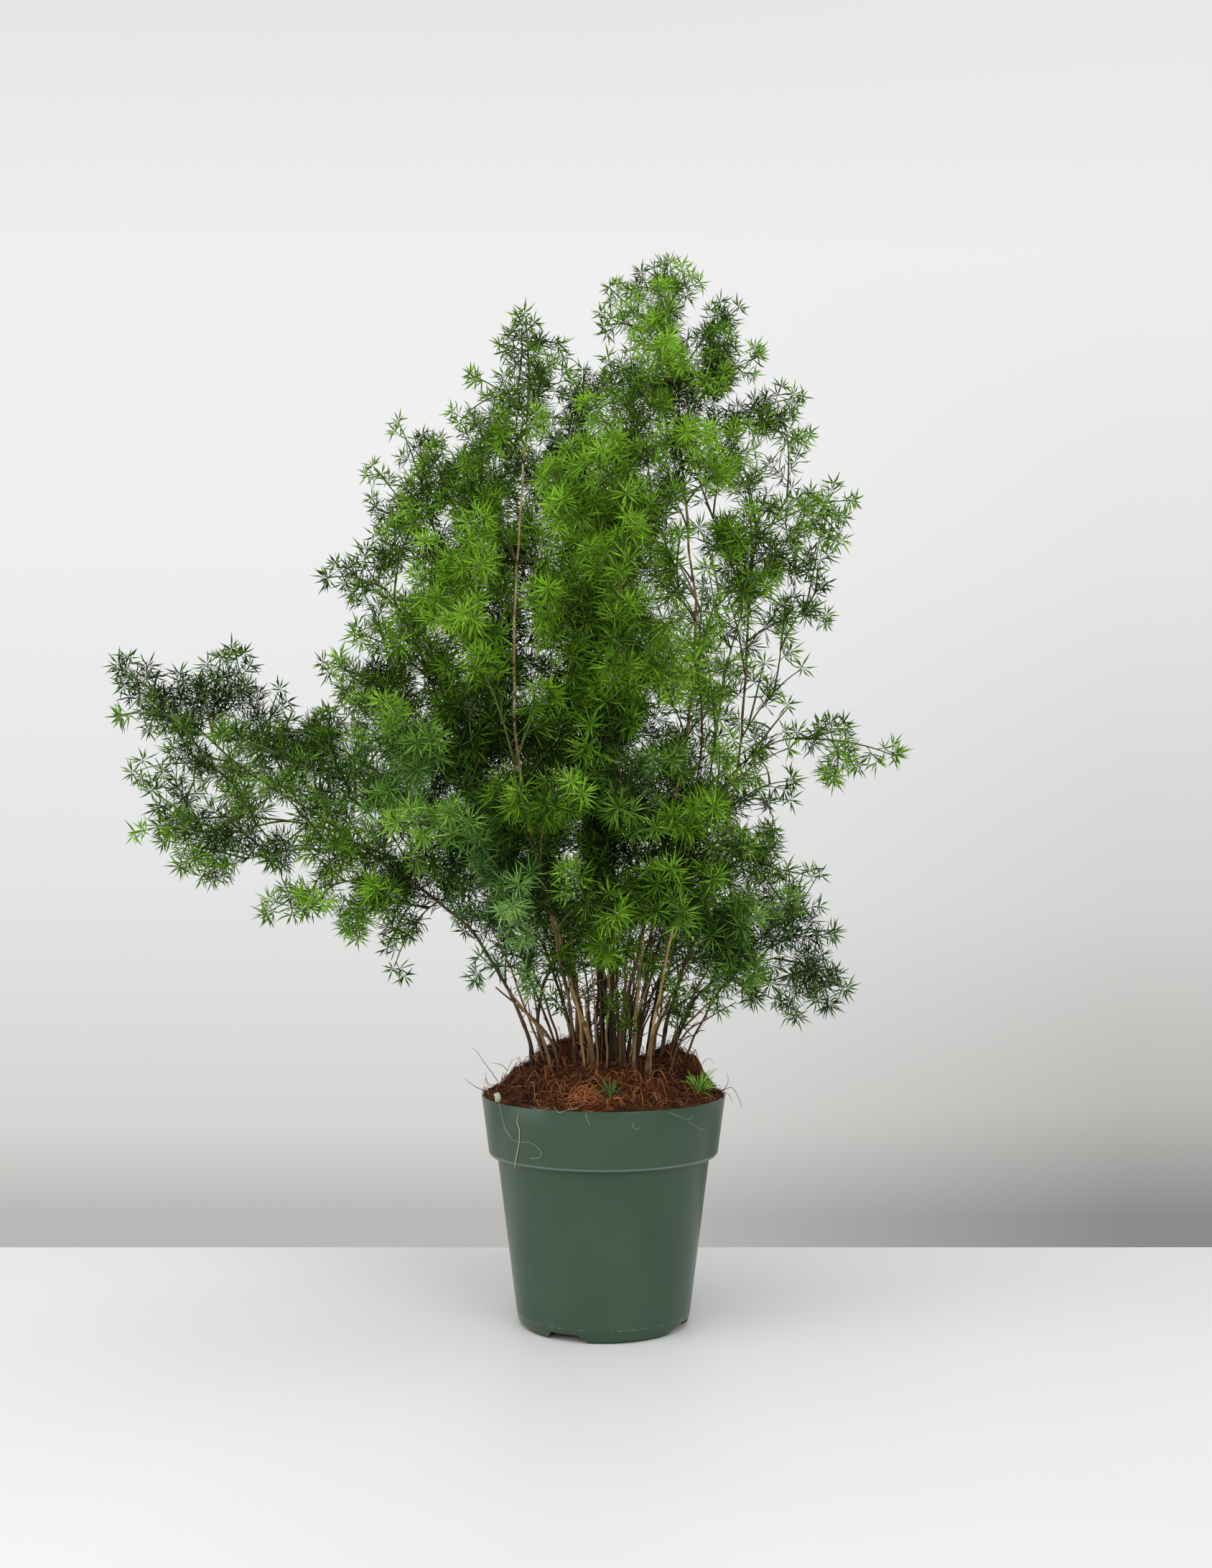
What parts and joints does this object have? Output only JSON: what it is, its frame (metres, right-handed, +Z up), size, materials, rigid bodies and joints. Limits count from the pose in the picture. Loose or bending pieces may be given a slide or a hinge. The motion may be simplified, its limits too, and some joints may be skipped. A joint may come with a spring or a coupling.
{
  "type": "potted ming fern",
  "caption": "Ming fern with thin woody stems and clouds of short needle-like leaves, growing from mounded coir in a tapered round nursery pot with a flared collar.",
  "frame": {"origin": "middle of the pot's flat base, on the surface that it stands on", "axes": "+Z up, -Y towards the viewer of the picture, so the long leaning stem reaches towards -X"},
  "size_m": [0.4928, 0.2997, 0.6699],
  "materials": {
    "pot_plastic": "satin",
    "coir": "rough",
    "bark": "rough",
    "root_skin": "rough",
    "fern_needles": "satin",
    "seedling_leaf": "satin"
  },
  "bodies": {
    "root": {"pot": "pot_plastic", "soil": "coir", "surface_roots": "root_skin", "seedling_bright": "seedling_leaf", "seedling_dark": "fern_needles", "stem_left_leaner": "bark", "stem_left_low": "bark", "stem_left_back": "bark", "stem_left_middle": "bark", "stem_pale_tall": "bark", "stem_middle_back": "bark", "stem_middle_front": "bark", "stem_right_tall": "bark", "stem_right_bend": "bark", "stem_right_reach": "bark", "stem_front_right": "bark", "stem_tan_front": "bark", "stem_front_middle": "bark", "stem_front_left": "bark", "stem_right_low": "bark", "stem_back_middle": "bark", "stem_back_right": "bark", "stem_back_left": "bark", "leafy_left_leaner": "fern_needles", "leafy_left_low": "fern_needles", "leafy_left_back": "fern_needles", "leafy_left_middle": "fern_needles", "leafy_pale_tall": "fern_needles", "leafy_middle_back": "fern_needles", "leafy_middle_front": "fern_needles", "leafy_right_tall": "fern_needles", "leafy_right_bend": "fern_needles", "leafy_right_reach": "fern_needles", "leafy_front_right": "fern_needles", "leafy_tan_front": "fern_needles", "leafy_front_middle": "fern_needles", "leafy_front_left": "fern_needles", "leafy_right_low": "fern_needles", "leafy_back_middle": "fern_needles", "leafy_back_right": "fern_needles", "leafy_back_left": "fern_needles"}
  },
  "joints": []
}
